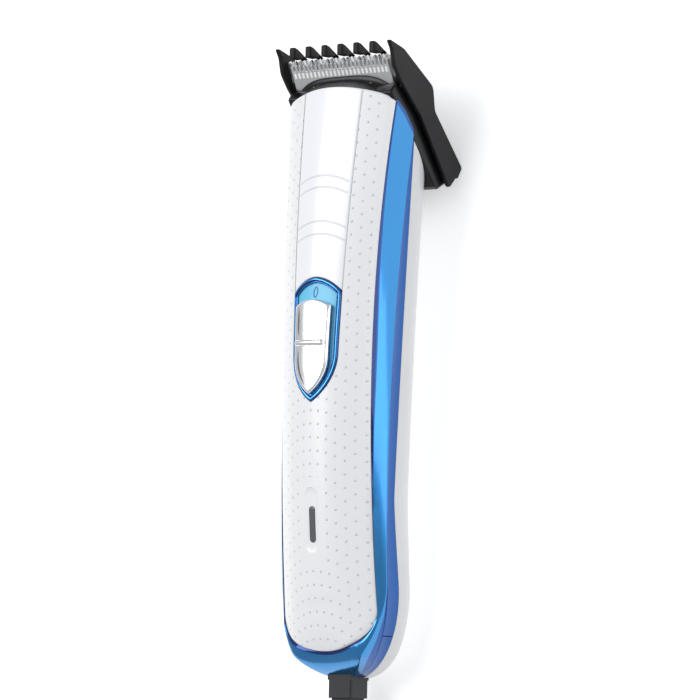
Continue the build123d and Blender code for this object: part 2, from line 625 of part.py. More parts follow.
def cord_parts():
    """The lead to the hank, the hank's closed ring, its tie, and the tail that rises to the plug on top."""
    nodes["cord"], lead_length = tube(LEAD_ROUTE)
    lead_length += LEAD_ROUTE[-1][1] - HANK_Y
    lanes = [LANE_OUT if lane == "O" else LANE_IN for lane in TURN_LANES]
    arcs = sum(lanes[:-1]) + sum((a + b) / 2 for a, b in zip(lanes, lanes[1:]))
    top = TIE + LAYERS * LAYER - LAYER_GAP
    z0, z1 = top - CORD_DIAMETER / 2, top + PLUG_THICK / 2
    tail = [(LANE_IN, HANK_Y, z0), (LANE_IN - 0.2, HANK_Y - 8.0, z0 + 0.4), (10.2, HANK_Y - 17.0, z0 + 2.3),
            (6.2, HANK_Y - 26.0, z0 + 5.2), (2.4, HANK_Y - 34.5, z1 - 1.5), (0.5, HANK_Y - 42.5, z1 - 0.25),
            (0, HANK_Y - TAIL_REACH, z1)]
    nodes["cord_tail"], tail_length = tube(tail)
    straight = (CORD_LENGTH - lead_length - tail_length - math.pi * arcs) / (2 * (len(lanes) - 1))
    print("straight lanes", round(straight, 2))
    edge, hole = LANE_OUT + CORD_DIAMETER / 2, LANE_IN - CORD_DIAMETER / 2
    middle = HANK_Y - straight / 2
    whole, middle_gap = (SlotCenterToCenter(straight, 2 * half, rotation=90) for half in (edge, hole))
    ring = whole - middle_gap
    nodes["cord_hank"] = one(Pos(0, middle, TIE) * extrude(ring, amount=top - TIE))
    strap = block(hole - TIE, edge + TIE, middle - 4, middle + 4, 0, top + TIE)
    nodes["hank_tie"] = one(strap - block(hole, edge, middle - 5, middle + 5, TIE, top))
    plug_parts(HANK_Y - TAIL_REACH, z1)


def plug_parts(start, z):
    """A flat two-pin plug lying on the hank, its pins pointing away from the clipper."""
    sleeve = loft([Plane((0, y, z), x_dir=(1, 0, 0), z_dir=(0, 1, 0)) * RectangleRounded(w, h, r)
                   for y, w, h, r in ((start, 6.4, 6.4, 3.0), (start - 12.0, 10.0, 8.0, 3.5))])
    face = start - PLUG_LENGTH
    outline = mirrored((5.0, start - 12.0), (PLUG_HALF - 3, start - 27.0), (PLUG_HALF, start - 34.0),
                       (PLUG_HALF, face))
    body = Pos(0, 0, z - PLUG_THICK / 2) * extrude(outline, amount=PLUG_THICK)
    body = fillet(body.edges().filter_by(Axis.Z), 1.2)
    body = chamfer(body.faces().sort_by(Axis.Z)[-1].edges() + body.faces().sort_by(Axis.Z)[0].edges(), 0.8)
    nodes["plug_body"] = one(body + sleeve)

    def pin(side):
        rod = cylinder_y(PLUG_PIN_RADIUS, face - PLUG_PIN_LENGTH, face, x=side * PLUG_PIN_SPREAD, z=z)
        return fillet(rod.edges().sort_by(Axis.Y)[0], 1.2)

    nodes["plug_pins"] = pair(pin)


cord_parts()

os.makedirs("parts", exist_ok=True)
for name, shape in nodes.items():
    export_step(shape, f"parts/{name}.step")
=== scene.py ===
"""A slim corded hair clipper on its back, rebuilt over its CAD frame.

Every surface is worked out in the clipper's own axes, in millimetres: X across, Y along the cord's axis
from the cord end to the head, Z out of the switch side. row() turns a point into the frame's metres.
The body's lines are bows: peak - drop * (distance from the peak / distance to that end) ** power.
"""
import math

import bmesh
import bpy
import numpy as np
from mathutils import Matrix, Vector


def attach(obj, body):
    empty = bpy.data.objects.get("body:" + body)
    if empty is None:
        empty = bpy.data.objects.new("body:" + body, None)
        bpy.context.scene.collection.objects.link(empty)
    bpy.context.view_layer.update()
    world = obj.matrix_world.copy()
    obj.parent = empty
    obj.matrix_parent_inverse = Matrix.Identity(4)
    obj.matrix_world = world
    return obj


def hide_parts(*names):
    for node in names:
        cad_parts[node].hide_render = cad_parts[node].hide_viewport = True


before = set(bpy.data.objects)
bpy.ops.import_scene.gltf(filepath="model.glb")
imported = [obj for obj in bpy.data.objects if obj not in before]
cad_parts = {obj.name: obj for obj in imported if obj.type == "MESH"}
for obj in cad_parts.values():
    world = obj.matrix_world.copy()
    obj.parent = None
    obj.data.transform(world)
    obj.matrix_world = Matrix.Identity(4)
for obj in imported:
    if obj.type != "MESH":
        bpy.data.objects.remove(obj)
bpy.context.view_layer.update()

# ---- the pose on the table, and the clipper's driving sizes in millimetres
REST = math.radians(4.62)
BODY = 151.5
SHIFT_Y, LIFT = -63.587, 10.0377
HALF_WIDTH, CREST, BACK = 17.0, 17.9, 11.8
FRONT_END, SEAM_Y = 7.0, 11.0
BEZEL_TOP, BEZEL_LENGTH, BEZEL_HALF = 102.0, 32.0, 7.55
PANEL_HALF, SHOULDER_Y = 9.25, 98.3
SLIDER_TOP, SLIDER_LENGTH, SLIDER_HALF, SLIDER_RISE = 96.3, 24.3, 5.5, 1.6
LENS_AT, LENS_HALF = 39.0, 0.95
BLADE_TILT, BLADE_Y, BLADE_Z = math.radians(27.0), 159.3, 8.25
COMB_HALF, CHEEK = 18.5, 1.2


def row(points):
    """Points in the clipper's axes, mm, as row-frame metres."""
    p = np.asarray(points, float).reshape(-1, 3)
    y = p[:, 1] * math.cos(REST) - p[:, 2] * math.sin(REST) + SHIFT_Y
    z = p[:, 1] * math.sin(REST) + p[:, 2] * math.cos(REST) + LIFT
    return np.stack([p[:, 0], y, z], 1) / 1000


# ---- camera
def set_camera():
    """A long lens on the switch side, from the clipper's right, with its axis upright in the picture."""
    side, low, roll, far = math.radians(37.0), math.radians(4.9), math.radians(1.0), 1490.0
    target = np.array([-0.82, 84.72, 0.59])
    out = np.array([math.sin(side) * math.cos(low), -math.sin(low), math.cos(side) * math.cos(low)])
    right = np.array([math.cos(side), 0, -math.sin(side)])
    up = np.cross(out, right)
    across = math.cos(roll) * right + math.sin(roll) * up
    upward = math.cos(roll) * up - math.sin(roll) * right
    place, origin = row([target + far * out])[0], row([[0, 0, 0]])[0]
    axes = [row([v])[0] - origin for v in (across, upward, out)]
    data = bpy.data.cameras.new("camera")
    data.lens, data.sensor_width = 298.3, 36.0
    data.clip_start, data.clip_end = 0.1, 10.0
    camera = bpy.data.objects.new("camera", data)
    rows = [[*(a[i] * 1000 for a in axes), place[i]] for i in range(3)]
    camera.matrix_world = Matrix(rows + [[0, 0, 0, 1]])
    bpy.context.collection.objects.link(camera)
    bpy.context.scene.camera = camera


set_camera()


# ---- node helpers for procedural materials
class Nodes:
    """A short way to write a material's node tree."""

    def __init__(self, name):
        self.material = bpy.data.materials.new(name)
        self.material.use_nodes = True
        self.tree = self.material.node_tree
        self.shader = self.tree.nodes["Principled BSDF"]

    def add(self, kind, **values):
        node = self.tree.nodes.new(kind)
        for key, value in values.items():
            setattr(node, key, value)
        return node

    def link(self, out, to):
        self.tree.links.new(out, to)

    def math(self, operation, *values):
        node = self.add("ShaderNodeMath", operation=operation)
        for socket, value in zip(node.inputs, values):
            if isinstance(value, (int, float)):
                socket.default_value = value
            else:
                self.link(value, socket)
        return node.outputs[0]

    def noise(self, scale, detail=3.0):
        node = self.add("ShaderNodeTexNoise")
        node.inputs["Scale"].default_value = scale
        node.inputs["Detail"].default_value = detail
        self.link(self.add("ShaderNodeTexCoord").outputs["Object"], node.inputs["Vector"])
        return node.outputs["Fac"]

    def spread(self, value, low, high):
        """value, from 0 to 1, carried to the range low to high."""
        node = self.add("ShaderNodeMapRange")
        node.inputs["To Min"].default_value = low
        node.inputs["To Max"].default_value = high
        self.link(value, node.inputs["Value"])
        return node.outputs[0]

    def mix(self, factor, first, second):
        node = self.add("ShaderNodeMix", data_type="RGBA")
        self.link(factor, node.inputs[0])
        for socket, value in ((node.inputs[6], first), (node.inputs[7], second)):
            if isinstance(value, tuple):
                socket.default_value = (*value, 1)
            else:
                self.link(value, socket)
        return node.outputs[2]

    def bump(self, height, distance, strength=1.0):
        node = self.add("ShaderNodeBump")
        node.inputs["Distance"].default_value = distance
        node.inputs["Strength"].default_value = strength
        self.link(height, node.inputs["Height"])
        self.link(node.outputs["Normal"], self.shader.inputs["Normal"])

    def set(self, **values):
        for key, value in values.items():
            self.shader.inputs[key.replace("_", " ")].default_value = value


def plastic(name, colour, roughness, grain=0.00002, scale=900.0, coat=0.0, shine=0.5):
    """Moulded plastic: a little mottling in colour and gloss, and a fine grain."""
    m = Nodes(name)
    broad, fine = m.noise(60.0), m.noise(scale, 4.0)
    m.link(m.mix(broad, tuple(c * 0.96 for c in colour), tuple(min(1, c * 1.03) for c in colour)),
           m.shader.inputs["Base Color"])
    m.link(m.spread(broad, roughness * 0.85, roughness * 1.15), m.shader.inputs["Roughness"])
    m.bump(fine, grain)
    m.set(Coat_Weight=coat, Coat_Roughness=0.05, Specular_IOR_Level=shine)
    return m.material


def metal(name, colour, roughness, stretch=(900.0, 60.0, 60.0), depth=0.000012):
    """Ground or plated metal with a directional grain."""
    m = Nodes(name)
    scaled = m.add("ShaderNodeMapping")
    scaled.inputs["Scale"].default_value = stretch
    m.link(m.add("ShaderNodeTexCoord").outputs["Object"], scaled.inputs["Vector"])
    grain = m.add("ShaderNodeTexNoise")
    grain.inputs["Scale"].default_value = 3.0
    m.link(scaled.outputs[0], grain.inputs["Vector"])
    m.link(m.mix(grain.outputs["Fac"], tuple(c * 0.9 for c in colour), colour), m.shader.inputs["Base Color"])
    m.link(m.spread(grain.outputs["Fac"], roughness * 0.8, roughness * 1.2), m.shader.inputs["Roughness"])
    m.set(Metallic=1.0)
    m.bump(grain.outputs["Fac"], depth)
    return m.material


def plan_uv(m):
    """The place on the front in the clipper's own millimetres, from the pieces' plan UVs."""
    split = m.add("ShaderNodeSeparateXYZ")
    m.link(m.add("ShaderNodeUVMap", uv_map="plan").outputs[0], split.inputs[0])
    return split.outputs[0], split.outputs[1]


def dimpled_white():
    """White shell with moulded pips in arched rows: columns 2.25 mm apart, rows 3.4 mm apart."""
    m = Nodes("white_dimpled")
    x, y = plan_uv(m)
    column = m.math("ROUND", m.math("DIVIDE", x, 2.25))
    arched = m.math("ADD", y, m.math("MULTIPLY", 0.175, m.math("MULTIPLY", column, column)))
    dx = m.math("SUBTRACT", x, m.math("MULTIPLY", column, 2.25))
    dy = m.math("SUBTRACT", arched, m.math("MULTIPLY", 3.4, m.math("ROUND", m.math("DIVIDE", arched, 3.4))))
    away = m.math("SQRT", m.math("ADD", m.math("MULTIPLY", dx, dx), m.math("MULTIPLY", dy, dy)))
    pip = m.add("ShaderNodeMapRange", interpolation_type="SMOOTHSTEP")
    for key, value in (("From Min", 0.36), ("From Max", 0.08), ("To Min", 0.0), ("To Max", 1.0)):
        pip.inputs[key].default_value = value
    m.link(away, pip.inputs["Value"])
    wide = m.math("ABSOLUTE", x)
    near_lens = m.math("MULTIPLY", m.math("LESS_THAN", wide, 3.0),
                       m.math("LESS_THAN", m.math("ABSOLUTE", m.math("SUBTRACT", y, LENS_AT + 1.0)), 11.0))
    kept = m.math("MULTIPLY", m.math("SUBTRACT", 1.0, near_lens), m.math("LESS_THAN", wide, 14.2))
    height = m.math("MULTIPLY", pip.outputs[0], kept)
    # The pips are greyed in colour, 0.90 down to 0.80: painted shade on the moulded pips, which the bump also
    # raises.
    m.link(m.mix(height, (0.90, 0.90, 0.91), (0.80, 0.80, 0.82)), m.shader.inputs["Base Color"])
    m.link(m.spread(m.noise(80.0), 0.30, 0.38), m.shader.inputs["Roughness"])
    total = m.math("ADD", height, m.math("MULTIPLY", m.noise(1400.0, 4.0), 0.06))
    m.bump(total, 0.00022)
    m.set(Coat_Weight=0.15, Coat_Roughness=0.1)
    return m.material


def panel_white():
    """The smooth centre strip, with two pairs of fine arched lines across it."""
    m = Nodes("white_panel")
    x, y = plan_uv(m)
    arched = m.math("ADD", y, m.math("MULTIPLY", 0.032, m.math("MULTIPLY", x, x)))
    lines = None
    for at in (113.2, 116.5, 125.4, 128.4):
        line = m.add("ShaderNodeMapRange", interpolation_type="SMOOTHSTEP")
        for key, value in (("From Min", 0.28), ("From Max", 0.06), ("To Min", 0.0), ("To Max", 1.0)):
            line.inputs[key].default_value = value
        m.link(m.math("ABSOLUTE", m.math("SUBTRACT", arched, at)), line.inputs["Value"])
        lines = line.outputs[0] if lines is None else m.math("ADD", lines, line.outputs[0])
    inside = m.math("LESS_THAN", m.math("ABSOLUTE", x), 7.6)
    lines = m.math("MULTIPLY", lines, inside)
    m.link(m.mix(lines, (0.94, 0.94, 0.97), (0.82, 0.82, 0.86)), m.shader.inputs["Base Color"])
    m.link(m.spread(m.noise(80.0), 0.22, 0.30), m.shader.inputs["Roughness"])
    m.bump(m.math("ADD", m.math("MULTIPLY", lines, -1.0), m.math("MULTIPLY", m.noise(1200.0), 0.04)), 0.00012)
    m.set(Coat_Weight=0.3, Coat_Roughness=0.06)
    return m.material


def blue_plating(name, colour, roughness=0.16):
    """Blue vacuum plating: tinted metal under a clear lacquer, with a faint ripple."""
    m = Nodes(name)
    broad = m.noise(25.0)
    m.link(m.mix(broad, tuple(c * 0.86 for c in colour), colour), m.shader.inputs["Base Color"])
    m.link(m.spread(m.noise(300.0), roughness * 0.8, roughness * 1.2), m.shader.inputs["Roughness"])
    m.set(Metallic=0.85, Coat_Weight=0.6, Coat_Roughness=0.04)
    m.bump(m.noise(90.0), 0.00002)
    return m.material


MATERIALS = {
    "dimpled": dimpled_white(),
    "panel": panel_white(),
    # The rear shell's white is darker than the front's: painted shade on the flank turned from the light.
    "rear": plastic("white_rear", (0.66, 0.66, 0.67), 0.32, coat=0.2),
    "blue": blue_plating("blue_facet", (0.03, 0.26, 0.62)),
    # The deep and navy copies of the blue plating are darker for painted shade: the side facets, crease and
    # inner walls that turn from the light.
    "deep": blue_plating("blue_side_painted_shade", (0.001, 0.085, 0.35), 0.24),
    "navy_painted_shade": blue_plating("blue_inner_painted_shade", (0.005, 0.03, 0.16), 0.25),
    "cyan": plastic("cyan_plate", (0.16, 0.60, 0.88), 0.3),
    "mark": plastic("blue_mark", (0.01, 0.16, 0.5), 0.35),
    # Near-white for the blade's raised lands: painted highlight.
    "bright": plastic("land_painted_highlight", (0.93, 0.93, 0.93), 0.25),
    "slider": metal("bright_slider", (0.97, 0.97, 0.98), 0.22, (200.0, 40.0, 40.0), 0.000004),
    # Near-black for the slider's strokes: painted shade and reflection.
    "shade": plastic("channel_painted_shade", (0.02, 0.02, 0.022), 0.25),
    "lens": plastic("smoke_lens", (0.10, 0.10, 0.11), 0.2, coat=0.5),
    "head": plastic("black_head", (0.004, 0.004, 0.005), 0.3, 0.000008, shine=0.35),
    "comb": plastic("black_comb", (0.007, 0.007, 0.008), 0.5, 0.00003, 700.0, shine=0.25),
    "steel": metal("ground_steel", (0.74, 0.74, 0.75), 0.34),
    "rubber": plastic("cord_rubber", (0.016, 0.016, 0.018), 0.5, 0.00003, 500.0),
    "screw": metal("plated_screw", (0.6, 0.6, 0.62), 0.25),
    "white_part": plastic("inner_white", (0.8, 0.8, 0.78), 0.5),
    "black_part": plastic("inner_black", (0.02, 0.02, 0.02), 0.5),
    "board": plastic("solder_mask", (0.03, 0.22, 0.09), 0.4),
    "sleeve": plastic("capacitor_sleeve", (0.05, 0.07, 0.3), 0.4),
    "copper": metal("nickel_brass", (0.72, 0.62, 0.42), 0.22),
    "pins": metal("plug_pins", (0.75, 0.73, 0.68), 0.2),
    "brown": plastic("lead_brown", (0.2, 0.08, 0.04), 0.5),
}


# ---- mesh helpers
WELD = 2e-6              # metres between vertices that are one


def piece(name, vertices, faces, material, body="clipper", uv=None, smooth=40.0, materials=None,
          face_slots=None):
    """A mesh from clipper-axis points, shaded smooth below that angle, riding on a body."""
    mesh = bpy.data.meshes.new(name)
    mesh.from_pydata([tuple(v) for v in row(vertices)], [], [tuple(int(i) for i in f) for f in faces])
    for each in materials or [material]:
        mesh.materials.append(MATERIALS[each])
    if face_slots is not None:
        mesh.polygons.foreach_set("material_index", np.asarray(face_slots, np.int32))
    if uv is not None:
        layer = mesh.uv_layers.new(name="plan")
        corners = np.empty(len(mesh.loops), np.int32)
        mesh.loops.foreach_get("vertex_index", corners)
        layer.data.foreach_set("uv", np.asarray(uv, np.float32)[corners].ravel())
    work = bmesh.new()
    work.from_mesh(mesh)
    bmesh.ops.remove_doubles(work, verts=work.verts, dist=WELD)
    bmesh.ops.dissolve_degenerate(work, edges=work.edges, dist=1e-6)
    bmesh.ops.recalc_face_normals(work, faces=work.faces)
    work.to_mesh(mesh)
    work.free()
    obj = bpy.data.objects.new(name, mesh)
    bpy.context.collection.objects.link(obj)
    mesh.polygons.foreach_set("use_smooth", np.ones(len(mesh.polygons), bool))
    mesh.set_sharp_from_angle(angle=math.radians(smooth))
    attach(obj, body)
    return obj


def grid_faces(rows, columns, wrap=False):
    """Quads of a rows by columns grid of vertices, closed across its columns if wrap is set."""
    last = columns if wrap else columns - 1
    return [(i * columns + j, i * columns + (j + 1) % columns,
             (i + 1) * columns + (j + 1) % columns, (i + 1) * columns + j)
            for i in range(rows - 1) for j in range(last)]


def sweep_loops(loops, close_ends=True):
    """A tube through a list of equal closed loops of points, with its ends filled."""
    loops = np.asarray(loops, float)
    rows, columns = loops.shape[:2]
    faces = grid_faces(rows, columns, wrap=True)
    if close_ends:
        faces += [tuple(range(columns))[::-1], tuple((rows - 1) * columns + j for j in range(columns))]
    return loops.reshape(-1, 3), faces


def bow(y, peak_at, peak, low_drop, high_drop, power=2.0):
    """peak - drop * (distance from the peak / distance to that end) ** power, with a drop for each end."""
    y = np.asarray(y, float)
    head = peak - high_drop * (np.clip(y - peak_at, 0, None) / (BODY - peak_at)) ** power
    return head - low_drop * (np.clip(peak_at - y, 0, None) / peak_at) ** power


def crest_z(y):
    """Height of the front's highest line: a bow."""
    return bow(y, 0.435 * BODY, CREST, 6.9, 6.3)


def edge_x(y):
    """Half width at the front shell's edge: a bow of the waist's half width."""
    return HALF_WIDTH * bow(y, 0.49 * BODY, 0.824, -0.07, -0.19)


def edge_z(y):
    """Height of the front shell's edge: a bow of the crest."""
    return CREST * bow(y, 0.51 * BODY, 0.665, 0.33, 0.29)


def crease_x(y):
    """Half width at the blue frame's outer crease: a bow of the waist's half width."""
    return HALF_WIDTH * bow(y, 0.4 * BODY, 0.994, 0.02, -0.07)


def rear_x(y):
    """Half width at the rear shell's top edge: a bow of the waist's half width."""
    return HALF_WIDTH * bow(y, 0.4 * BODY, 1.006, 0.02, -0.058)


def rear_z(y):
    """Height of the rear shell's top edge: a bow, almost straight each way."""
    return bow(y, 0.3 * BODY, 4.4, 6.0, 7.0, 1.15)


def crease_z(y):
    """Height of the crease: a steeper bow towards the cord end, never under the rear shell."""
    y = np.asarray(y, float)
    line = np.where(y > 0.3 * BODY, bow(y, 0.3 * BODY, 7.2, 0, 9.4), bow(y, 0.3 * BODY, 7.2, 6.4, 0, 3.2))
    return np.maximum(line, rear_z(y) + 0.8)


def back_z(y):
    """Height of the flat back: a bow, shallower at the cord end and deeper at the head."""
    return -BACK * bow(y, 0.33 * BODY, 1.0, 0.13, -0.52)


def nose_z(y):
    """The rounded front of the cord end: a circle through three points of the side view."""
    (y1, z1), (y2, z2), (y3, z3) = (0.0, 0.5), (6.4, 9.8), (19.0, float(crest_z(19.0)))
    a = np.array([[y2 - y1, z2 - z1], [y3 - y1, z3 - z1]])
    b = np.array([(y2 * y2 - y1 * y1 + z2 * z2 - z1 * z1) / 2, (y3 * y3 - y1 * y1 + z3 * z3 - z1 * z1) / 2])
    cy, cz = np.linalg.solve(a, b)
    radius = math.hypot(y1 - cy, z1 - cz)
    return cz + np.sqrt(np.clip(radius**2 - (np.asarray(y, float) - cy) ** 2, 0, None))


def body_z(x, y):
    """The body's height over the plan: the front's arch, then a straight flank to the crease.

    At the cord end it meets the rounded nose, by the smooth minimum -ln(exp(-k a) + exp(-k b)) / k.
    """
    x, y = np.abs(np.asarray(x, float)), np.asarray(y, float)
    share = np.clip((x - edge_x(y)) / np.maximum(crease_x(y) - edge_x(y), 0.1), 0, 1)
    flank = edge_z(y) + (crease_z(y) - edge_z(y)) * share
    arch = crest_z(y) - (crest_z(y) - edge_z(y)) * (x / edge_x(y)) ** 2
    section = np.where(x < edge_x(y), arch, flank)
    nose = np.where(y < 19.0, nose_z(y), section + 9.0)
    k = 1.6
    blend = -np.log(np.exp(-k * (section - 9)) + np.exp(-k * (nose - 9))) / k + 9
    return np.where(y < 19.0, np.minimum(blend, np.minimum(section, nose)), section)


# ---- outlines on the front
def shell_top(x):
    """The front shell's arched top edge."""
    return BODY - 3.2 * (np.asarray(x, float) / 17.0) ** 2


def crowded(count, reach):
    """Numbers from -reach to reach that crowd towards both ends."""
    t = np.linspace(-1, 1, count)
    return np.sign(t) * (1 - (1 - np.abs(t)) ** 2.2) * reach


# ---- outlines on the front, as lists of (X, Y)
def arc(first, through, last, count):
    """Points on the circle through three points, from first to last."""
    (x1, y1), (x2, y2), (x3, y3) = first, through, last
    a = np.array([[x2 - x1, y2 - y1], [x3 - x1, y3 - y1]])
    b = np.array([x2**2 - x1**2 + y2**2 - y1**2, x3**2 - x1**2 + y3**2 - y1**2]) / 2
    cx, cy = np.linalg.solve(a, b)
    turns = np.unwrap([math.atan2(y - cy, x - cx) for x, y in (first, through, last)])
    angles = np.linspace(turns[0], turns[2], count)
    return np.stack([cx + math.hypot(x1 - cx, y1 - cy) * np.cos(angles),
                     cy + math.hypot(x1 - cx, y1 - cy) * np.sin(angles)], 1)


def shield(half, top, length, crown, straight):
    """The right-hand half of a shield, from its point at the cord end to the middle of its arched top."""
    shoulder, bend, tip = top - crown, top - crown - straight, top - length
    belly = arc((0, tip), (half * 0.66, tip + (bend - tip) * 0.42), (half * 0.94, bend), 22)
    side = np.linspace((half * 0.94, bend), (half, shoulder), 16)
    cap = arc((half, shoulder), (half * math.sqrt(0.5), top - crown * 0.49), (0, top), 14)
    return np.concatenate([belly[:-1], side[:-1], cap])


def around(right):
    """A whole closed outline from its right-hand half."""
    left = right[-2:0:-1] * (-1, 1)
    return np.concatenate([right, left])


def shell_outline():
    """The front shell's right half: a half ellipse at the cord end, its edge line, an arched top."""
    turn = np.linspace(0, math.pi / 2, 22)
    middle, corner = FRONT_END + 10.0, shell_top(edge_x(BODY - 3.0)) - 1.1
    u = np.stack([edge_x(middle) * np.sin(turn), middle - 10.0 * np.cos(turn)], 1)
    ys = np.linspace(middle, corner, 75)
    side = np.stack([edge_x(ys), ys], 1)
    across = np.linspace(side[-1, 0] - 1.0, 0, 20)
    cap = np.stack([across, shell_top(across)], 1)
    return np.concatenate([u[:-1], side, cap])


def spread_rows(right, across):
    """A plan grid of level rows between the two sides of an outline given by its right-hand half."""
    s = crowded(across, 1.0)
    return np.stack([np.outer(right[:, 0], s), np.repeat(right[:, 1:], across, 1)], 2)


def panel_rows(across, gap):
    """The centre panel's plan grid: from the bezel's arch to the shell's, gap inside its recess."""
    s = crowded(across, 1.0)
    rows = []
    for t in (crowded(70, 1.0) + 1) / 2:
        level = SHOULDER_Y + (BODY - SHOULDER_Y) * t
        half = BEZEL_HALF + (PANEL_HALF - BEZEL_HALF) * (level - SHOULDER_Y) / (BODY - SHOULDER_Y) - gap
        x = s * half
        low = BEZEL_TOP - 3.7 * (x / BEZEL_HALF) ** 2 + gap * 0.5
        rows.append(np.stack([x, low + (shell_top(x) - 0.03 - low) * t], 1))
    return np.array(rows)


def rim_of(grid):
    """The closed outline of a plan grid."""
    return np.concatenate([grid[0], grid[1:, -1], grid[-1, -2::-1], grid[-2:0:-1, 0]])


def gap_to(points, outline):
    """The distance in plan from each point to the nearest part of a closed outline."""
    a, b = outline, np.roll(outline, -1, 0)
    span = b - a
    size = np.maximum((span**2).sum(1), 1e-9)
    share = np.clip(((points[:, None] - a) * span).sum(2) / size, 0, 1)
    return np.sqrt((((a + share[..., None] * span) - points[:, None]) ** 2).sum(2)).min(1)


def rolled(distance, radius):
    """How far a rounded edge of that radius drops at a distance in from it."""
    d = np.clip(radius - distance, 0, radius)
    return radius - np.sqrt(radius**2 - d**2)


def slab_faces(rows, columns, count):
    """A grid and its underside count vertices on, joined round their rim."""
    over = grid_faces(rows, columns)
    rim = ([j for j in range(columns)] + [i * columns + columns - 1 for i in range(1, rows)]
           + [(rows - 1) * columns + j for j in range(columns - 2, -1, -1)]
           + [i * columns for i in range(rows - 2, 0, -1)])
    under = [tuple(count + i for i in f[::-1]) for f in over]
    return over + under + [(a, a + count, b + count, b) for a, b in zip(rim, rim[1:] + rim[:1])]


def inlay(name, grid, material, depth, edge, lift=0.0, crown=0.0, body="clipper", extra=None):
    """A closed plate on the front over a plan grid.

    Its outer face follows the front, raised by lift, with rounded edges; its inner face is depth under that.
    """
    rows, across = grid.shape[:2]
    plan = grid.reshape(-1, 2)
    distance = gap_to(plan, rim_of(grid))
    base = body_z(plan[:, 0], plan[:, 1]) + lift
    height = base - rolled(distance, edge) + crown * np.clip(distance / 3.0, 0, 1)
    if extra is not None:
        height = height + extra(plan[:, 0], plan[:, 1], distance)
    vertices = np.concatenate([np.column_stack([plan, height]), np.column_stack([plan, base - depth])])
    return piece(name, vertices, slab_faces(rows, across, len(plan)), material, body, uv=vertices[:, :2])


def front_shell():
    """The dimpled shell, sunk where the panel, the bezel and the lens sit."""
    right = shell_outline()
    bezel = shield(BEZEL_HALF, BEZEL_TOP, BEZEL_LENGTH, 3.7, 16.5)
    lens_rows = LENS_AT + 1 + 8.4 * np.sin(np.linspace(-1.57, 1.57, 30))
    marks = np.concatenate([right[:, 1], bezel[:36, 1], lens_rows])
    ys = np.unique(np.round(np.concatenate([marks, BEZEL_TOP - BEZEL_LENGTH - np.array([0.05, 0.3])]), 3))
    order = np.argsort(right[:, 1])
    halves = np.interp(ys, right[order, 1], right[order, 0])
    points, under = [], []
    for y, half in zip(ys, halves):
        if y >= SHOULDER_Y:
            share = (y - SHOULDER_Y) / (BODY - SHOULDER_Y)
            wide, deep = BEZEL_HALF + (PANEL_HALF - BEZEL_HALF) * share + 0.12, 0.9
        elif y > bezel[0, 1]:
            wide, deep = float(np.interp(y, bezel[:36, 1], bezel[:36, 0])) + 0.1, 0.9
        else:
            away = abs(y - LENS_AT - 1.0)
            reach = 8.4 - 2.2
            round_end = math.sqrt(max(0.0, 2.2**2 - max(0.0, away - reach) ** 2))
            wide, deep = round_end, 0.5 * min(1.0, round_end / 2.2)
        wide = min(wide, half * 0.999)
        slope = 0.06 if y > bezel[0, 1] else min(0.9, wide * 0.5)
        out = half - (half - wide) * (1 - (1 - np.linspace(0, 1, 20)) ** 2.0)
        side = [(x, 0.0) for x in out]
        floor = [(x, deep) for x in np.linspace(wide - slope, 0, 12)]
        cut = np.array(side + floor + [(-x, d) for x, d in floor[-2::-1]] + [(-x, d) for x, d in side[::-1]])
        points.append(np.column_stack([cut[:, 0], np.full(len(cut), y), cut[:, 1]]))
    grid = np.array(points)
    flat = grid.reshape(-1, 3)
    distance = gap_to(flat[:, :2], around(right))
    height = body_z(flat[:, 0], flat[:, 1])
    over = np.column_stack([flat[:, :2], height - rolled(distance, 0.45) - flat[:, 2]])
    under = np.column_stack([flat[:, :2], height - 1.9])
    faces = slab_faces(len(ys), grid.shape[1], len(flat))
    shell = piece("shell_front", np.concatenate([over, under]), faces, "dimpled",
                  uv=np.tile(flat[:, :2], (2, 1)))
    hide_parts("front_shell")


def front_inlays():
    """The centre panel, the lens and the plate behind the slider with its mark."""
    panel = inlay("panel_front", panel_rows(61, 0.16), "panel", 0.85, 0.3, lift=0.02)
    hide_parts("front_panel")
    window = shield(BEZEL_HALF - 1.25, BEZEL_TOP - 1.35, BEZEL_LENGTH - 3.3, 3.1, 15.5)
    plate = inlay("plate_cyan", spread_rows(window, 41), "cyan", 0.35, 0.05, lift=-0.45)
    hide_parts("switch_plate")
    turn = np.linspace(0, 2 * math.pi, 33)[:-1]

    def oval(wide, tall):
        """A leaning oval about the mark's middle."""
        v = tall * np.sin(turn)
        return np.stack([wide * np.cos(turn) + 0.12 * v, 98.25 + v], 1)

    def on_plate(p):
        return np.column_stack([p[:, 0], p[:, 1], body_z(p[:, 0], p[:, 1]) - 0.42 + p[:, 2]])

    mark = slab("mark_zero", [oval(0.72, 1.42), oval(0.44, 1.12)], 0.12, 0.02, on_plate, "mark")
    ends = np.linspace(0, math.pi, 13)
    pill = np.concatenate([np.stack([LENS_HALF * np.cos(ends), 3.7 + LENS_HALF * np.sin(ends)], 1),
                           np.stack([-LENS_HALF * np.cos(ends), -3.7 - LENS_HALF * np.sin(ends)], 1)])
    lens = slab("lens_front", [pill + (0, LENS_AT)], 1.6, 0.28,
                lambda p: np.column_stack([p[:, 0], p[:, 1], body_z(0, p[:, 1]) - 1.05 + p[:, 2]]), "lens")
    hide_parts("indicator_lens")


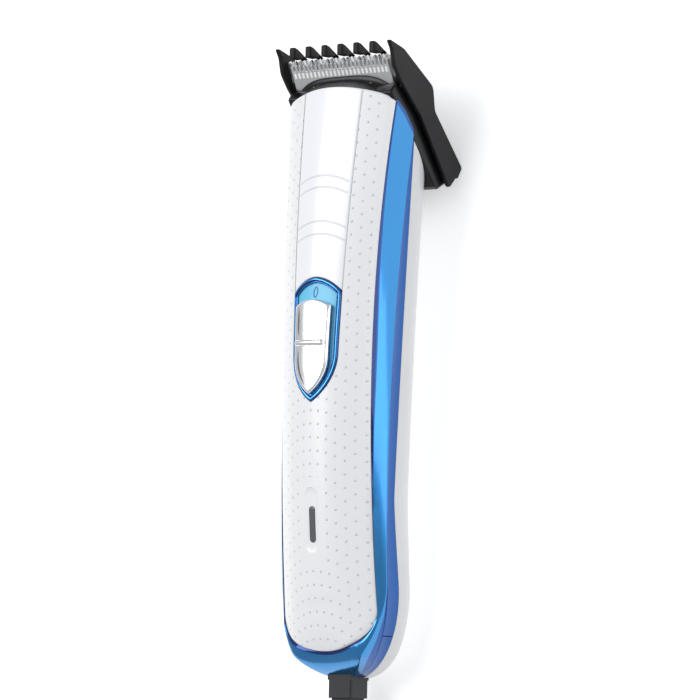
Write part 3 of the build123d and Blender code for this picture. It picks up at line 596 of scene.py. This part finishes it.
def bezel():
    """The blue frame round the switch: an outer flank, a rolled crown, and a stepped inner wall."""
    outer = around(shield(BEZEL_HALF, BEZEL_TOP, BEZEL_LENGTH, 3.7, 16.5))
    inner = around(shield(BEZEL_HALF - 1.3, BEZEL_TOP - 1.4, BEZEL_LENGTH - 3.4, 3.1, 15.5))
    profile = [(0.0, -0.85), (0.0, 0.02), (0.06, 0.2), (0.2, 0.32), (0.4, 0.36), (0.52, 0.3), (0.56, 0.12),
               (0.62, 0.05), (0.72, 0.1), (0.86, 0.12), (0.96, 0.04), (1.0, -0.12), (1.0, -0.85)]
    loops = []
    for share, lift in profile:
        plan = outer + (inner - outer) * share
        loops.append(np.column_stack([plan, body_z(plan[:, 0], plan[:, 1]) + lift]))
    loops = np.array(loops)
    count, around_count = loops.shape[:2]
    faces = grid_faces(count + 1, around_count, wrap=True)
    vertices = np.concatenate([loops, loops[:1]]).reshape(-1, 3)
    # Slots for each ring of the profile: the base blue on the crown, its darker copies on the flanks and
    # walls as painted shade.
    painted_shade_slots = np.repeat([2, 2, 1, 0, 0, 1, 2, 2, 1, 0, 1, 2, 2], around_count)
    ring = piece("bezel_ring", vertices, faces, "blue", materials=["blue", "deep", "navy_painted_shade"], face_slots=painted_shade_slots)
    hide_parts("switch_bezel")


def slider():
    """The bright thumb slider: a rolled rim, two dark strokes inside it as painted shade and reflection, and
    the grip bar across it.
    """
    outline = shield(SLIDER_HALF, SLIDER_TOP, SLIDER_LENGTH, 1.75, 13.5)
    bar_y = SLIDER_TOP - 11.2
    knob = inlay("slider_thumb", spread_rows(outline, 61), "slider", 1.84, 0.6, lift=SLIDER_RISE, crown=0.1,
                 body="switch")
    # Two dark strokes down the thumb's left side: painted shade and reflection of a groove.
    for name, low, high in (("low", 74.4, bar_y - 1.9), ("high", bar_y + 1.9, 94.2)):
        ys = np.linspace(low, high, 30)
        xs = 1.75 - np.interp(ys, outline[:37, 1], outline[:37, 0])
        swell = np.sin(np.linspace(0.12, math.pi - 0.12, 30)) ** 0.6
        turn = np.linspace(0, 2 * math.pi, 13)[:-1]
        loops = [np.stack([x + 0.3 * s * np.cos(turn), np.full(12, y), body_z(x, y) + SLIDER_RISE
                           + 0.16 * s * np.sin(turn)], 1) for x, y, s in zip(xs, ys, swell)]
        vertices, faces = sweep_loops(loops)
        stroke = piece(f"slider_painted_shade_stroke_{name}", vertices, faces, "shade", "switch")
    ends = np.linspace(0, math.pi / 2, 8)
    half = SLIDER_HALF - 0.85
    along = np.concatenate([-half + 0.85 * (1 - np.sin(ends[::-1])), half - 0.85 * (1 - np.sin(ends))])
    radius = 0.85 * np.concatenate([np.cos(ends[::-1]), np.cos(ends)])
    turn = np.linspace(0, 2 * math.pi, 25)[:-1]
    loops = [np.stack([np.full(24, x), bar_y + r * np.cos(turn), body_z(x, bar_y) + SLIDER_RISE + 0.12
                       + 0.95 * r * np.sin(turn)], 1) for x, r in zip(along, radius)]
    vertices, faces = sweep_loops(loops)
    bar = piece("slider_bar", vertices, faces, "slider", "switch")
    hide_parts("switch_slider")


# ---- the blue frame, the side strips and the rear shell
def cut_y(z):
    """The slanting joint with the head, in the side view."""
    return 127.0 + (np.asarray(z, float) + 11.4) * 20.0 / 18.0


def plan_half(y):
    """The half-elliptic plan of the cord end."""
    y = np.asarray(y, float)
    return float(rear_x(25.0)) * np.sqrt(np.clip(1 - ((25.0 - np.minimum(y, 25.0)) / 25.0) ** 2, 0, 1))


def head_end(line_z, start=120.0):
    """Where a line of the body, given as its height at y, meets the head."""
    y = start
    for _ in range(30):
        y = 0.5 * y + 0.5 * float(cut_y(line_z(y)))
    return y


def u_path(inner_end, outer_end, count=60):
    """Matching plan points, down the right side and half round the cord end: shell's edge and crease."""
    t = np.linspace(0, 1, count)
    inner_y, outer_y = inner_end + (17.0 - inner_end) * t, outer_end + (25.0 - outer_end) * t
    inner = np.stack([edge_x(inner_y), inner_y], 1)
    outer = np.stack([crease_x(outer_y), outer_y], 1)
    turn = np.linspace(0, math.pi / 2, 34)[1:]
    inner_u = np.stack([edge_x(17.0) * np.cos(turn), 17.0 - 10.0 * np.sin(turn)], 1)
    outer_u = np.stack([crease_x(25.0) * np.cos(turn), 25.0 - 25.0 * np.sin(turn)], 1)
    return np.concatenate([inner, inner_u]), np.concatenate([outer, outer_u])


def blue_frame():
    """The U round the front shell: an inner bevel, a broad facet in the base blue, and a rolled crease; the
    bevel and the crease are painted in darker copies of the blue as shade.
    """
    inner_end = head_end(lambda y: float(edge_z(y)))
    outer_end = head_end(lambda y: float(crease_z(y)))
    inner, outer = u_path(inner_end, outer_end)
    inner = np.concatenate([inner, inner[-2::-1] * (-1, 1)])
    outer = np.concatenate([outer, outer[-2::-1] * (-1, 1)])
    way = outer - inner
    width = np.sqrt((way**2).sum(1))[:, None]
    unit = way / width
    loops = []

    def line(plan, drop):
        loops.append(np.column_stack([plan, body_z(plan[:, 0], plan[:, 1]) - drop]))

    line(inner + 0.1 * unit, 1.7)
    line(inner + 0.1 * unit, 0.62)
    line(inner + np.minimum(0.75, 0.3 * width) * unit, 0.1)
    line(inner + np.minimum(0.95, 0.38 * width) * unit, 0.0)
    for share in (0.45, 0.55, 0.65, 0.75, 0.84, 0.91, 0.96):
        bulge = 0.22 * math.sin(math.pi * (share - 0.38) / 0.62)
        line(inner + share * way, -bulge)
    edge = inner + 0.99 * way
    top = body_z(edge[:, 0], edge[:, 1])
    loops.append(np.column_stack([edge, top - 0.06]))
    low = np.minimum(crease_z(outer[:, 1]) + 0.03, top - 0.1)
    loops.append(np.column_stack([outer, np.minimum(top - 0.12, low + 0.45 * (top - low))]))
    loops.append(np.column_stack([outer, low]))
    loops.append(np.column_stack([outer - 1.5 * unit, low]))
    loops.append(np.column_stack([inner + 0.3 * way, body_z(*(inner + 0.3 * way).T) - 1.7]))
    grid = np.array(loops).transpose(1, 0, 2)
    vertices, faces = sweep_loops(grid)
    count = len(loops)
    # The inner bevel, the crease and the underside take the darker copies of the blue: painted shade.
    painted_shade_slots = [2, 2, 1] + [0] * (count - 7) + [1, 1, 1, 1]
    slots = np.concatenate([np.tile(painted_shade_slots, len(grid) - 1), [1, 1]])
    frame_piece = piece("frame_blue", vertices, faces, "blue", materials=["blue", "deep", "navy_painted_shade"],
                        face_slots=slots, smooth=32.0)
    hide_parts("trim_frame")


def band_line(y, share):
    """At y, a point of the side band and its height: share 0 is the crease, share 1 the rear shell."""
    x = np.minimum(crease_x(y) + (rear_x(y) - crease_x(y)) * share, plan_half(y))
    return x, crease_z(y) + (rear_z(y) - crease_z(y)) * share


def side_band():
    """The two side strips and the cap round the cord end: one dished facet in the blue's darker copy as
    painted shade, split at the seams.
    """
    # The strips and the cap take the blue's darker copy: painted shade on a side turned from the light.
    shares = [0.0, 0.04, 0.12, 0.3, 0.5, 0.7, 0.88, 0.96, 1.0]

    def loop(y_of):
        points = []
        for share in shares:
            y = y_of(share)
            x, z = band_line(y, share)
            dish = 0.16 * math.sin(math.pi * share) + 0.12 * (abs(2 * share - 1) > 0.95)
            points.append((max(float(x) - dish, 0.0), y, float(z)))
        inner = [(max(x - 1.5, 0.0), y + (1.5 if x < 8 else 0.0), z) for x, y, z in points[::-1]]
        return np.array(points + inner)

    ends = {share: head_end(lambda y, k=share: float(band_line(y, k)[1])) - 0.05 for share in shares}
    for side, label in ((-1, "left"), (1, "right")):
        loops = [loop(lambda k, v=v: SEAM_Y + 0.1 + (ends[k] - SEAM_Y - 0.1) * v) * (side, 1, 1)
                 for v in np.linspace(0, 1, 90)]
        vertices, faces = sweep_loops(loops)
        strip = piece(f"strip_{label}", vertices, faces, "deep", smooth=32.0)
        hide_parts(f"side_trim_{label}")
    turn = np.linspace(0, math.pi / 2, 30)
    right = [loop(lambda k, v=v: (SEAM_Y - 0.1) * (1 - v)) for v in np.sin(turn)]
    loops = right + [each * (-1, 1, 1) for each in right[-2::-1]]
    vertices, faces = sweep_loops(loops)
    cap = piece("cap_cord_end", vertices, faces, "deep", smooth=32.0)
    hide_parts("end_cap")


def rear_low(y):
    """The back's height, rolled up at the cord end by a circle through three points of the side view."""
    y = np.asarray(y, float)
    low = float(back_z(9.0)) - 0.1
    curve = arc((9.0, low), (2.6, low + 2.7), (0.0, low + 9.0), 60)[::-1]
    return np.where(y < 9.0, np.interp(y, curve[:, 0], curve[:, 1]), back_z(y))


def rear_ring(y_of, inset):
    """The rear shell's section, right edge to left edge, drawn inside its surface by inset."""
    turn = np.linspace(0, math.pi / 2, 14)
    points = []
    for a, share in zip([*turn, turn[-1], turn[-1]], [1.0] * len(turn) + [0.5, 0.0]):
        y = y_of(0.0)
        for _ in range(4):
            rz, low, rx = float(rear_z(y)), float(rear_low(y)) + inset, float(rear_x(y))
            scale = float(plan_half(y)) / rx
            centre = rz - 0.6
            radius = min(centre - low, rx - 1.0)
            x = (rx - radius * (1 - math.cos(a))) * scale - inset * math.cos(a)
            z = centre - (centre - low) * math.sin(a) if a > 0 else rz
            y = y_of(z)
        points.append((max(x * share, 0.0), y, min(z, rz)))
    right = np.array(points)
    return np.concatenate([right, right[-2::-1] * (-1, 1, 1)])


def rear_shell():
    """The white rear shell: a flat back with rounded flanks, 1.8 mm thick, cut along the head's joint."""
    near_end = 25.0 / 130 * (1 - np.cos(np.linspace(0, math.pi / 2, 26)[:-1]))
    steps = np.concatenate([near_end, np.linspace(25 / 130, 1, 60)])

    def y_at(v):
        return lambda z: 0.02 + (float(cut_y(z)) - 0.05) * v

    loops = []
    for v in steps:
        outside = rear_ring(y_at(v), 0.0)
        inside = rear_ring(y_at(v), 1.8) + (0, 1.6 * (1 - v), 0)
        loops.append(np.concatenate([outside, inside[::-1]]))
    vertices, faces = sweep_loops(loops)
    # The rear shell takes the darker white: painted shade.
    rear = piece("shell_rear", vertices, faces, "rear")
    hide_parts("rear_shell")


# ---- flat pieces with rounded edges
def slab(name, loops, thickness, bevel, place, material, body="clipper", resolution=2):
    """A plate with rounded edges, from closed outlines: its edge, then its holes. place() puts it there."""
    curve = bpy.data.curves.new(name, "CURVE")
    curve.dimensions, curve.fill_mode = "2D", "BOTH"
    curve.extrude, curve.bevel_depth = thickness / 2 - bevel, bevel
    curve.bevel_resolution, curve.offset = resolution, -bevel
    for loop in loops:
        spline = curve.splines.new("POLY")
        spline.points.add(len(loop) - 1)
        for point, (x, y) in zip(spline.points, loop):
            point.co = (x, y, 0, 1)
        spline.use_cyclic_u = True
    holder = bpy.data.objects.new(name, curve)
    flat = bpy.data.meshes.new_from_object(holder)
    vertices = np.empty(len(flat.vertices) * 3)
    flat.vertices.foreach_get("co", vertices)
    faces = [tuple(p.vertices) for p in flat.polygons]
    bpy.data.objects.remove(holder)
    bpy.data.curves.remove(curve)
    bpy.data.meshes.remove(flat)
    obj = piece(name, place(vertices.reshape(-1, 3)), faces, material, body)
    obj.modifiers.new("even", "WEIGHTED_NORMAL").keep_sharp = True
    return obj


def rounded(points, radii, count=6):
    """A closed polygon with its corners rounded; radii is one radius or one for each corner."""
    points = [np.array(p, float) for p in points]
    radii = radii if isinstance(radii, (list, tuple)) else [radii] * len(points)
    out = []
    for i, (p, radius) in enumerate(zip(points, radii)):
        before, after = points[i - 1] - p, points[(i + 1) % len(points)] - p
        a, b = before / np.linalg.norm(before), after / np.linalg.norm(after)
        half = math.acos(np.clip(a @ b, -1, 1)) / 2
        reach = min(radius / math.tan(half), 0.45 * np.linalg.norm(before), 0.45 * np.linalg.norm(after))
        for t in np.linspace(0, 1, count):
            out.append((1 - t) ** 2 * (p + a * reach) + 2 * t * (1 - t) * p + t**2 * (p + b * reach))
    return np.array(out)


def side_plate(x):
    """Carries an outline of (Y, Z) and its thickness along X to the plane at x."""
    return lambda p: np.column_stack([x + p[:, 2], p[:, 0], p[:, 1]])


def blade_plane(level):
    """Carries (across, up the blade) and thickness to the blades' tilted plane."""
    c, s = math.cos(BLADE_TILT), math.sin(BLADE_TILT)
    return lambda p: np.column_stack([p[:, 0], BLADE_Y + p[:, 1] * c - (p[:, 2] + level) * s,
                                      BLADE_Z + p[:, 1] * s + (p[:, 2] + level) * c])


def toothed_edge(half, top, root, pitch, count, gap):
    """A blade's edge from right to left: square ears, and count gaps between tapered teeth."""
    points = []
    for i in range(count):
        x = ((count - 1) / 2 - i) * pitch
        points += [(x + gap * 0.62, top - 0.15), (x + gap * 0.5, root + 0.2), (x + gap * 0.25, root),
                   (x - gap * 0.25, root), (x - gap * 0.5, root + 0.2), (x - gap * 0.62, top - 0.15)]
        if i < count - 1:
            points += [(x - pitch * 0.36, top), (x - pitch * 0.64, top)]
    return points


def blades():
    """The fixed blade with its ears, and the moving blade over it with its row of raised lands, near-white as
    painted highlights.
    """
    ears = rounded([(17, -7.5), (17, 0), (16.2, 0)], 0.9)
    left_ear = rounded([(-16.2, 0), (-17, 0), (-17, -7.5)], 0.9)
    lower = np.concatenate([ears, toothed_edge(17, 0, -2.3, 1.27, 25, 0.62), left_ear,
                            [(-14, -10.5), (-14, -15.4), (14, -15.4), (14, -10.5)]])
    fixed = slab("blade_fixed", [lower], 1.0, 0.07, blade_plane(-0.5), "steel")
    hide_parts("fixed_blade")
    sweep_x = np.linspace(-15.2, 15.2, 41)
    arch = np.stack([sweep_x, -6.6 - 4.2 * (sweep_x / 15.2) ** 2], 1)
    upper = np.concatenate([rounded([(15.6, -11), (15.6, -0.9), (15.0, -0.9)], 0.8),
                            toothed_edge(15.6, -0.9, -2.4, 1.27, 24, 0.6),
                            rounded([(-15.0, -0.9), (-15.6, -0.9), (-15.6, -11)], 0.8), arch])
    moving = slab("blade_moving", [upper], 1.0, 0.1, blade_plane(0.55), "steel", "cutter")
    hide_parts("moving_blade")
    # A row of raised lands on the moving blade, coloured near-white as painted highlights.
    for i in range(24):
        x = (i - 11.5) * 1.27
        outline = rounded([(x - 0.36, -4.3), (x + 0.36, -4.3), (x + 0.36, -2.85), (x - 0.36, -2.85)], 0.12)
        land = slab(f"blade_land_painted_highlight_{i:02d}", [outline], 0.16, 0.03, blade_plane(1.06), "bright", "cutter")


def head():
    """The black head: cheeks and back as one rounded block, and the concave hood before the blades."""
    outline = rounded([(127.2, -11.3), (146.8, 6.5), (149.6, 8.4), (152.0, 6.4), (150.6, 3.6), (155.8, 4.4),
                       (133.2, -16.6), (129.6, -18.2), (126.6, -12.6)],
                      [0.3, 0.6, 0.8, 1.0, 1.0, 0.8, 1.5, 1.5, 0.8])
    block = slab("head_block", [outline], 33.6, 0.7, side_plate(0.0), "head")
    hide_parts("head_housing")
    across = crowded(61, 16.7)
    steps = np.linspace(0, 1, 18)
    over, under = [], []
    for t in steps:
        start = np.column_stack([across, shell_top(across) - 0.5, body_z(across, BODY - 1.5) - 0.7])
        end_y = 154.7 - 3.6 * (across / 15.2) ** 4
        level = 1.12
        along_blade = (end_y - BLADE_Y + level * math.sin(BLADE_TILT)) / math.cos(BLADE_TILT)
        end = np.column_stack([across, end_y, BLADE_Z + along_blade * math.sin(BLADE_TILT)
                               + level * math.cos(BLADE_TILT)])
        low = np.minimum(start[:, 2], end[:, 2]) - 0.5
        mid = np.column_stack([across, start[:, 1] * 0.55 + end_y * 0.45, low])
        line = (1 - t) ** 2 * start + 2 * t * (1 - t) * mid + t**2 * end
        over.append(line)
        under.append(line - (0, 0.3, 1.4))
    count = len(steps) * len(across)
    vertices = np.concatenate([np.array(over).reshape(-1, 3), np.array(under).reshape(-1, 3)])
    hood = piece("head_hood", vertices, slab_faces(len(steps), len(across), count), "head")


def comb():
    """The guide comb: cheeks, fin-shaped teeth, and the web and foot that join them on the skin side."""
    nose, skin_top, knee = (162.8, 12.0), (161.0, 5.3), (152.6, -7.6)
    step, corner = (146.4, -8.5), (132.8, -20.8)
    cheek = rounded([nose, skin_top, knee, step, corner, (127.0, -15.2), (129.9, -13.1), (144.4, -2.4),
                     (149.0, 2.6), (152.6, 6.4), (156.2, 9.3), (160.3, 10.3)],
                    [0.5, 6.0, 3.0, 2.5, 1.2, 1.0, 0.8, 4.0, 6.0, 6.0, 5.0, 2.0])
    fin = rounded([(162.7, 11.9), (162.3, 10.2), (159.9, 5.5), knee, step, (144.6, -10.1), (146.0, -5.6),
                   (157.4, 5.2), (160.0, 7.0), (159.9, 8.1), (159.5, 9.2), (159.5, 11.9)],
                  [0.7, 1.0, 4.0, 3.0, 2.0, 0.5, 1.0, 1.5, 0.4, 0.4, 0.3, 0.5])
    for side in (-1, 1):
        slab(f"comb_cheek_{'lr'[side > 0]}", [cheek], CHEEK, 0.3,
                          side_plate(side * (COMB_HALF - CHEEK / 2)), "comb", "comb")
    pitch = (2 * COMB_HALF - CHEEK) / 7
    for i in range(1, 7):
        x = -COMB_HALF + CHEEK / 2 + i * pitch
        slab(f"comb_fin_{i}", [fin], 1.8, 0.45, side_plate(x), "comb", "comb", 3)
    web = rounded([step, corner, (129.7, -18.9), (131.2, -17.6), (133.4, -17.0), (146.0, -5.6)], 0.6)
    slab("comb_web", [web], 2 * COMB_HALF - 0.2, 0.3, side_plate(0.0), "comb", "comb")
    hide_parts("comb")


# ---- the mains cord, its put-away hank, and its tie
CORD_DIAMETER = 0.005
LANE_OUT, LANE_IN, LAYER = 0.0176, 0.0124, 0.00505
HANK_NEAR, HANK_FAR, HANK_LOW = -0.166, -0.25912, 0.0033
LEAD_ROUTE = [(0, -0.09748, 0.0073), (0, -0.1076, 0.0064), (0.0019, -0.1185, 0.0046),
              (0.0066, -0.129, 0.0036), (0.0122, -0.1395, 0.00335), (0.0163, -0.149, 0.0033),
              (LANE_OUT, -0.158, 0.0033)]
TAIL_ROUTE = [(0.0122, HANK_NEAR - 0.008, 0.01885), (0.0102, HANK_NEAR - 0.017, 0.02075),
              (0.0062, HANK_NEAR - 0.026, 0.02365), (0.0024, HANK_NEAR - 0.0345, 0.02625),
              (0.0005, HANK_NEAR - 0.0425, 0.0275), (0, HANK_NEAR - 0.05, 0.02775)]


def hank_points():
    """Six flat turns in two lanes and three layers, with six steps round each end's half circle.

    Down the lane at +X, round the far end, back up the lane at -X, and over to the next lane and layer
    in the half circle nearest the clipper, the last of which rises to the tail's layer.
    """
    lanes = (LANE_OUT, LANE_IN, LANE_IN, LANE_OUT, LANE_OUT, LANE_IN, LANE_IN)
    layers = (0, 0, 1, 1, 2, 2, 3)
    angles = np.radians(np.arange(0, 181, 30))
    stretch = np.where((angles > 0.1) & (angles < 3.0), 1 / math.cos(math.radians(15)), 1.0)
    points = []
    for lane, after, layer, next_layer in zip(lanes, lanes[1:], layers, layers[1:]):
        z, rise = HANK_LOW + LAYER * layer, LAYER * (next_layer - layer)
        for a, s in zip(angles, stretch):
            points.append((lane * s * math.cos(a), HANK_FAR - lane * s * math.sin(a), z))
        for a, s in zip(angles, stretch):
            wide = (lane + (after - lane) * a / math.pi) * s
            points.append((-wide * math.cos(a), HANK_NEAR + wide * math.sin(a), z + rise * a / math.pi))
    return points


def mains_cord():
    """One round spline along the lead, the hank and the tail."""
    curve = bpy.data.curves.new("cord_mains", "CURVE")
    curve.dimensions = "3D"
    curve.bevel_depth, curve.bevel_resolution, curve.resolution_u = CORD_DIAMETER / 2, 5, 8
    curve.use_fill_caps = True
    route = LEAD_ROUTE + hank_points() + TAIL_ROUTE
    spline = curve.splines.new("NURBS")
    spline.points.add(len(route) - 1)
    for point, place in zip(spline.points, route):
        point.co = (*place, 1)
    spline.order_u = 3
    spline.use_endpoint_u = True
    cord = bpy.data.objects.new("cord_mains", curve)
    bpy.context.collection.objects.link(cord)
    curve.materials.append(MATERIALS["rubber"])
    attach(cord, "clipper")
    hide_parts("cord", "cord_hank", "cord_tail")


# ---- finishes of the CAD pieces that stay
CAD_FINISH = {
    "steel": ["motor_shaft", "motor_can", "blade_spring"],
    "screw": ["housing_screws", "blade_screws"],
    "black_part": ["motor_end_cap", "eccentric", "slide_switch", "rectifier", "choke", "hank_tie",
                   "motor_magnets"],
    "white_part": ["motor_cradle", "cord_clamp", "blade_driver", "switch_knob"],
    "copper": ["motor_rotor", "motor_terminals"],
    "board": ["circuit_board"],
    "lens": ["led"],
    "sleeve": ["capacitor"],
    "rubber": ["strain_relief", "plug_body"],
    "pins": ["plug_pins"],
    "brown": ["mains_leads", "motor_leads"],
}


def finish_cad():
    """A finish for every CAD piece that stays."""
    for finish, names in CAD_FINISH.items():
        for name in names:
            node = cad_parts[name]
            node.data.materials.clear()
            node.data.materials.append(MATERIALS[finish])


# ---- table and light
def soft_light(name, place, target, size, power, tint=(1, 1, 1)):
    """A rectangular light that faces its target."""
    data = bpy.data.lights.new(name, "AREA")
    data.shape, data.size, data.size_y = "RECTANGLE", size[0], size[1]
    data.energy, data.color = power, tint
    light = bpy.data.objects.new(name, data)
    light.location = place
    light.rotation_euler = (Vector(target) - Vector(place)).to_track_quat("-Z", "Y").to_euler()
    bpy.context.collection.objects.link(light)


def studio():
    """The pale table, even surroundings, a key light above and a low light from the right."""
    mesh = bpy.data.meshes.new("table")
    half = 3.0
    corners = [(-half, -half, 0), (half, -half, 0), (half, half, 0), (-half, half, 0)]
    mesh.from_pydata(corners, [], [(0, 1, 2, 3)])
    table = bpy.data.objects.new("table", mesh)
    paper = Nodes("table_paper")
    tone = paper.mix(paper.noise(2.0), (0.90, 0.90, 0.90), (0.93, 0.93, 0.93))
    paper.link(tone, paper.shader.inputs["Base Color"])
    paper.set(Roughness=0.7, Emission_Color=(1, 1, 1, 1), Emission_Strength=0.45)
    mesh.materials.append(paper.material)
    bpy.context.collection.objects.link(table)
    world = bpy.data.worlds.new("studio")
    world.use_nodes = True
    world.node_tree.nodes["Background"].inputs["Color"].default_value = (0.95, 0.97, 1.0, 1)
    world.node_tree.nodes["Background"].inputs["Strength"].default_value = 0.5
    bpy.context.scene.world = world
    soft_light("key", (-0.45, 0.25, 1.1), (0, 0.02, 0), (0.6, 0.9), 7.5)
    soft_light("low_right", (1.0, 0.1, 0.3), (0, 0.02, 0), (0.2, 1.2), 1.6, (0.9, 0.95, 1.0))
    bpy.context.scene.view_settings.view_transform = "Standard"


mains_cord()
front_shell()
front_inlays()
bezel()
slider()
blue_frame()
side_band()
rear_shell()
blades()
head()
comb()
finish_cad()
studio()
